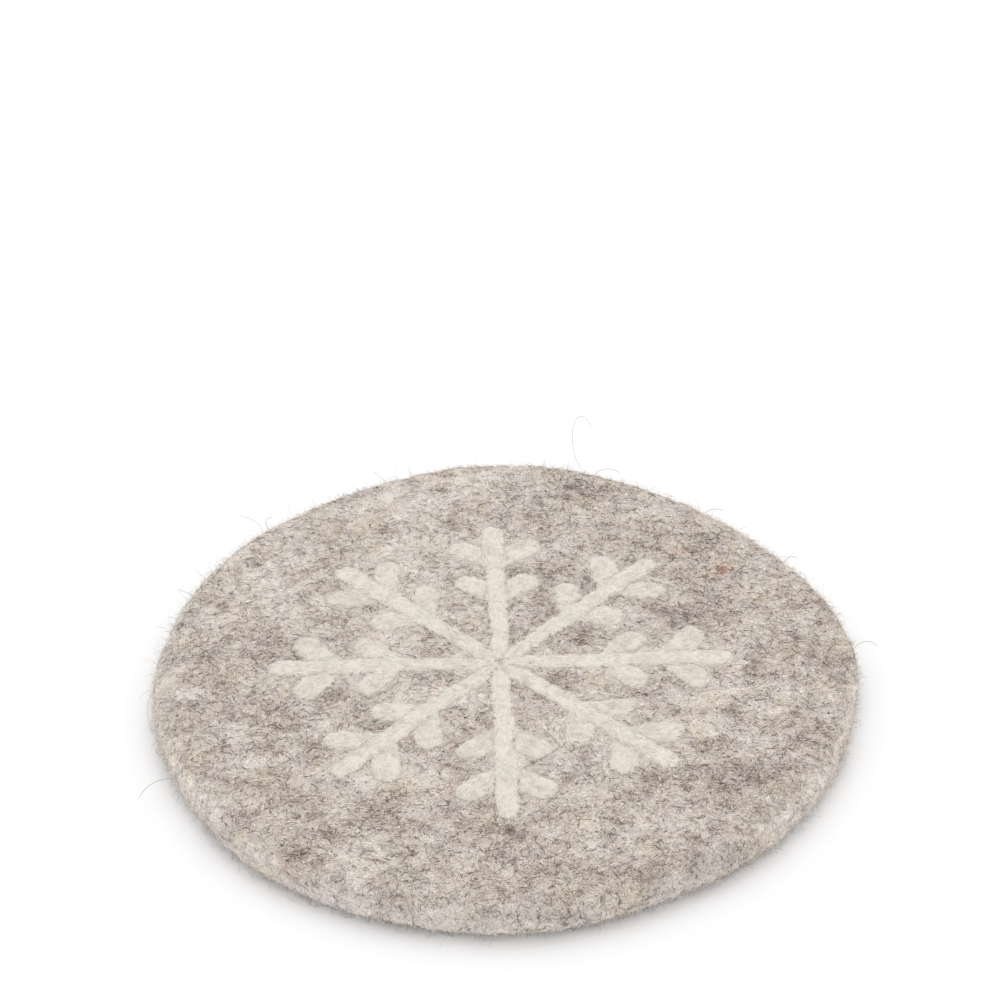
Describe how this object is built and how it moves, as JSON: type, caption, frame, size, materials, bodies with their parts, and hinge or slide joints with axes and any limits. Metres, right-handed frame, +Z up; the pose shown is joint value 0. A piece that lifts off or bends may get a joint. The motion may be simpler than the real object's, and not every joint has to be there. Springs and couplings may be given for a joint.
{
  "type": "felt drink coaster",
  "caption": "Round coaster of thick heathered wool felt, with a cream-white needle-felted snowflake on top; it lies flat and takes a glass, cup or mug.",
  "frame": {"origin": "middle of the underside, on the table", "axes": "+Z up, square to the disc; +X along the first arm of the snowflake, to within its small turn"},
  "size_m": [0.1004, 0.102, 0.0058],
  "materials": {
    "felt_wool": "matt fuzzy felt, oatmeal heather of cream, taupe and dark brown fibres",
    "white_wool": "matt combed wool, cream white"
  },
  "bodies": {
    "root": {"felt_disc": "felt_wool", "arm_1_stem": "white_wool", "arm_1_inner_leaf_left": "white_wool", "arm_1_inner_leaf_right": "white_wool", "arm_1_outer_leaf_left": "white_wool", "arm_1_outer_leaf_right": "white_wool", "arm_2_stem": "white_wool", "arm_2_inner_leaf_left": "white_wool", "arm_2_inner_leaf_right": "white_wool", "arm_2_outer_leaf_left": "white_wool", "arm_2_outer_leaf_right": "white_wool", "arm_3_stem": "white_wool", "arm_3_inner_leaf_left": "white_wool", "arm_3_inner_leaf_right": "white_wool", "arm_3_outer_leaf_left": "white_wool", "arm_3_outer_leaf_right": "white_wool", "arm_4_stem": "white_wool", "arm_4_inner_leaf_left": "white_wool", "arm_4_inner_leaf_right": "white_wool", "arm_4_outer_leaf_left": "white_wool", "arm_4_outer_leaf_right": "white_wool", "arm_5_stem": "white_wool", "arm_5_inner_leaf_left": "white_wool", "arm_5_inner_leaf_right": "white_wool", "arm_5_outer_leaf_left": "white_wool", "arm_5_outer_leaf_right": "white_wool", "arm_6_stem": "white_wool", "arm_6_inner_leaf_left": "white_wool", "arm_6_inner_leaf_right": "white_wool", "arm_6_outer_leaf_left": "white_wool", "arm_6_outer_leaf_right": "white_wool", "arm_7_stem": "white_wool", "arm_7_inner_leaf_left": "white_wool", "arm_7_inner_leaf_right": "white_wool", "arm_7_outer_leaf_left": "white_wool", "arm_7_outer_leaf_right": "white_wool", "arm_8_stem": "white_wool", "arm_8_inner_leaf_left": "white_wool", "arm_8_inner_leaf_right": "white_wool", "arm_8_outer_leaf_left": "white_wool", "arm_8_outer_leaf_right": "white_wool"}
  },
  "joints": []
}
